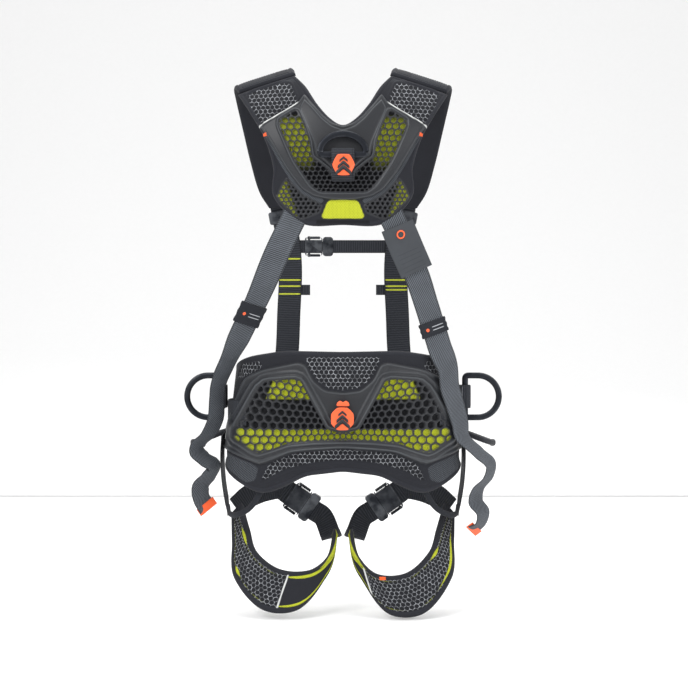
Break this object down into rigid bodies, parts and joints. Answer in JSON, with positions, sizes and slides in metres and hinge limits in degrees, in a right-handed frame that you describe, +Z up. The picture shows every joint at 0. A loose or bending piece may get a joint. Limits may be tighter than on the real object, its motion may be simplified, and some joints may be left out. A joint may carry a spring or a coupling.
{
  "type": "tree climbing saddle",
  "caption": "Padded climbing saddle: waist belt with side rings, shoulder yoke with dorsal ring, chest strap and leg loops on webbing, with quick buckles.",
  "frame": {"origin": "middle of the wearer's waist, level with the belt and the side rings", "axes": "+Z up the wearer's body; +Y the way the wearer faces, so the back of the saddle is on -Y; +X the wearer's right"},
  "size_m": [0.5886, 0.3241, 0.9971],
  "materials": {
    "foam": "black woven cover over closed-cell foam",
    "webbing": "black polyester webbing",
    "grey_webbing": "grey polyester webbing with diagonal ribs",
    "lime": "yellow-green spacer mesh",
    "shell": "satin moulded plastic, honeycomb perforated",
    "badge": "orange soft moulded rubber",
    "ring": "black anodised",
    "buckle": "black anodised, satin",
    "rubber": "black flexible moulded plastic",
    "elastic": "black elastic webbing"
  },
  "bodies": {
    "trunk": {"waist_pad": "foam", "waist_spacer": "lime", "waist_shell": "shell", "waist_badge": "badge", "waist_belt": "webbing", "waist_buckle_socket": "buckle", "yoke_pad": "foam", "yoke_spacer": "lime", "yoke_shell": "shell", "yoke_trim_band": "grey_webbing", "yoke_lobe_left": "shell", "yoke_lobe_right": "shell", "yoke_lime_panel": "lime", "dorsal_plate": "shell", "dorsal_loop": "webbing", "dorsal_badge": "badge", "chest_strap_left": "webbing", "chest_strap_right": "webbing", "chest_buckle_socket": "buckle", "back_strap_left": "grey_webbing", "back_strap_right": "grey_webbing", "label_panel": "rubber", "ventral_loop": "webbing", "shoulder_pad_left": "foam", "front_strap_left": "webbing", "ring_loop_left": "webbing", "leg_riser_left": "webbing", "leg_elastic_left": "elastic", "shoulder_pad_right": "foam", "front_strap_right": "webbing", "ring_loop_right": "webbing", "leg_riser_right": "webbing", "leg_elastic_right": "elastic"},
    "dorsal_ring": {"dorsal_ring": "ring"},
    "side_ring_left": {"side_ring_left": "ring"},
    "side_ring_right": {"side_ring_right": "ring"},
    "ventral_ring": {"ventral_ring": "ring"},
    "waist_tongue": {"waist_buckle_tongue": "buckle"},
    "waist_lever_upper": {"waist_buckle_lever_upper": "buckle"},
    "waist_lever_lower": {"waist_buckle_lever_lower": "buckle"},
    "chest_tongue": {"chest_buckle_tongue": "buckle"},
    "chest_lever_upper": {"chest_buckle_lever_upper": "buckle"},
    "chest_lever_lower": {"chest_buckle_lever_lower": "buckle"},
    "gear_loop_left": {"gear_loop_left": "rubber"},
    "gear_loop_right": {"gear_loop_right": "rubber"},
    "keeper_left": {"strap_keeper_left": "elastic"},
    "keeper_right": {"strap_keeper_right": "elastic"},
    "adjuster_left": {"front_adjuster_left": "buckle"},
    "adjuster_right": {"front_adjuster_right": "buckle"},
    "leg_left": {"leg_pad_left": "foam", "leg_strap_left": "webbing", "leg_inner_strap_left": "webbing", "leg_buckle_left_socket": "buckle"},
    "leg_tongue_left": {"leg_buckle_left_tongue": "buckle"},
    "leg_right": {"leg_pad_right": "foam", "leg_strap_right": "webbing", "leg_inner_strap_right": "webbing", "leg_buckle_right_socket": "buckle"},
    "leg_tongue_right": {"leg_buckle_right_tongue": "buckle"}
  },
  "joints": [
    {"name": "dorsal_ring_flip", "type": "hinge", "parent": "trunk", "child": "dorsal_ring", "pos_m": [0, -0.149, 0.466], "axis": [1, 0, 0], "range_deg": [0, 135]},
    {"name": "side_ring_swing_left", "type": "hinge", "parent": "trunk", "child": "side_ring_left", "pos_m": [-0.226, 0.006, 0.038], "axis": [0, 0, 1], "range_deg": [-60, 60]},
    {"name": "side_ring_swing_right", "type": "hinge", "parent": "trunk", "child": "side_ring_right", "pos_m": [0.226, 0.006, 0.038], "axis": [0, 0, -1], "range_deg": [-60, 60]},
    {"name": "ventral_ring_flip", "type": "hinge", "parent": "trunk", "child": "ventral_ring", "pos_m": [0, 0.154, -0.044], "axis": [1, 0, 0], "range_deg": [0, 110]},
    {"name": "waist_tongue_release", "type": "slide", "parent": "trunk", "child": "waist_tongue", "axis": [0.9991, -0.0429, 0], "range_m": [0, 0.014]},
    {"name": "waist_lever_upper_press", "type": "hinge", "parent": "trunk", "child": "waist_lever_upper", "pos_m": [0.02494, 0.13843, 0.0375], "axis": [0.0429, 0.9991, 0], "range_deg": [0, 5], "stiffness_Nm_per_rad": 0.4},
    {"name": "waist_lever_lower_press", "type": "hinge", "parent": "trunk", "child": "waist_lever_lower", "pos_m": [0.02494, 0.13843, -0.0155], "axis": [-0.0429, -0.9991, 0], "range_deg": [0, 5], "stiffness_Nm_per_rad": 0.4},
    {"name": "chest_tongue_release", "type": "slide", "parent": "trunk", "child": "chest_tongue", "axis": [1, 0, 0], "range_m": [0, 0.014]},
    {"name": "chest_lever_upper_press", "type": "hinge", "parent": "trunk", "child": "chest_lever_upper", "pos_m": [-0.066, 0.1376, 0.3405], "axis": [0, 1, 0], "range_deg": [0, 5], "stiffness_Nm_per_rad": 0.4},
    {"name": "chest_lever_lower_press", "type": "hinge", "parent": "trunk", "child": "chest_lever_lower", "pos_m": [-0.066, 0.1376, 0.3075], "axis": [0, -1, 0], "range_deg": [0, 5], "stiffness_Nm_per_rad": 0.4},
    {"name": "leg_swing_left", "type": "hinge", "parent": "trunk", "child": "leg_left", "pos_m": [-0.19, 0, -0.02], "axis": [1, 0, 0], "range_deg": [-8, 45], "deforming": ["leg_elastic_left", "leg_riser_left"]},
    {"name": "leg_tongue_left_release", "type": "slide", "parent": "leg_left", "child": "leg_tongue_left", "axis": [0.8229, -0.0987, -0.5596], "range_m": [0, 0.014]},
    {"name": "gear_loop_fold_left", "type": "hinge", "parent": "trunk", "child": "gear_loop_left", "pos_m": [-0.21, 0.046, -0.024], "axis": [0, -1, 0], "range_deg": [-12, 25]},
    {"name": "leg_swing_right", "type": "hinge", "parent": "trunk", "child": "leg_right", "pos_m": [0.19, 0, -0.02], "axis": [1, 0, 0], "range_deg": [-8, 45], "deforming": ["leg_elastic_right", "leg_riser_right"]},
    {"name": "leg_tongue_right_release", "type": "slide", "parent": "leg_right", "child": "leg_tongue_right", "axis": [-0.8229, -0.0987, -0.5596], "range_m": [0, 0.014]},
    {"name": "gear_loop_fold_right", "type": "hinge", "parent": "trunk", "child": "gear_loop_right", "pos_m": [0.21, 0.046, -0.024], "axis": [0, 1, 0], "range_deg": [-12, 25]},
    {"name": "keeper_slide_left", "type": "slide", "parent": "trunk", "child": "keeper_left", "axis": [-0.4325, 0.2544, -0.865], "range_m": [0, 0.014]},
    {"name": "keeper_slide_right", "type": "slide", "parent": "trunk", "child": "keeper_right", "axis": [0.3049, 0.1642, -0.9381], "range_m": [-0.02, 0.02]},
    {"name": "adjuster_slide_left", "type": "slide", "parent": "trunk", "child": "adjuster_left", "axis": [-0.1843, 0, 0.9829], "range_m": [-0.008, 0.03]},
    {"name": "adjuster_slide_right", "type": "slide", "parent": "trunk", "child": "adjuster_right", "axis": [0.1843, 0, 0.9829], "range_m": [-0.008, 0.03]}
  ]
}
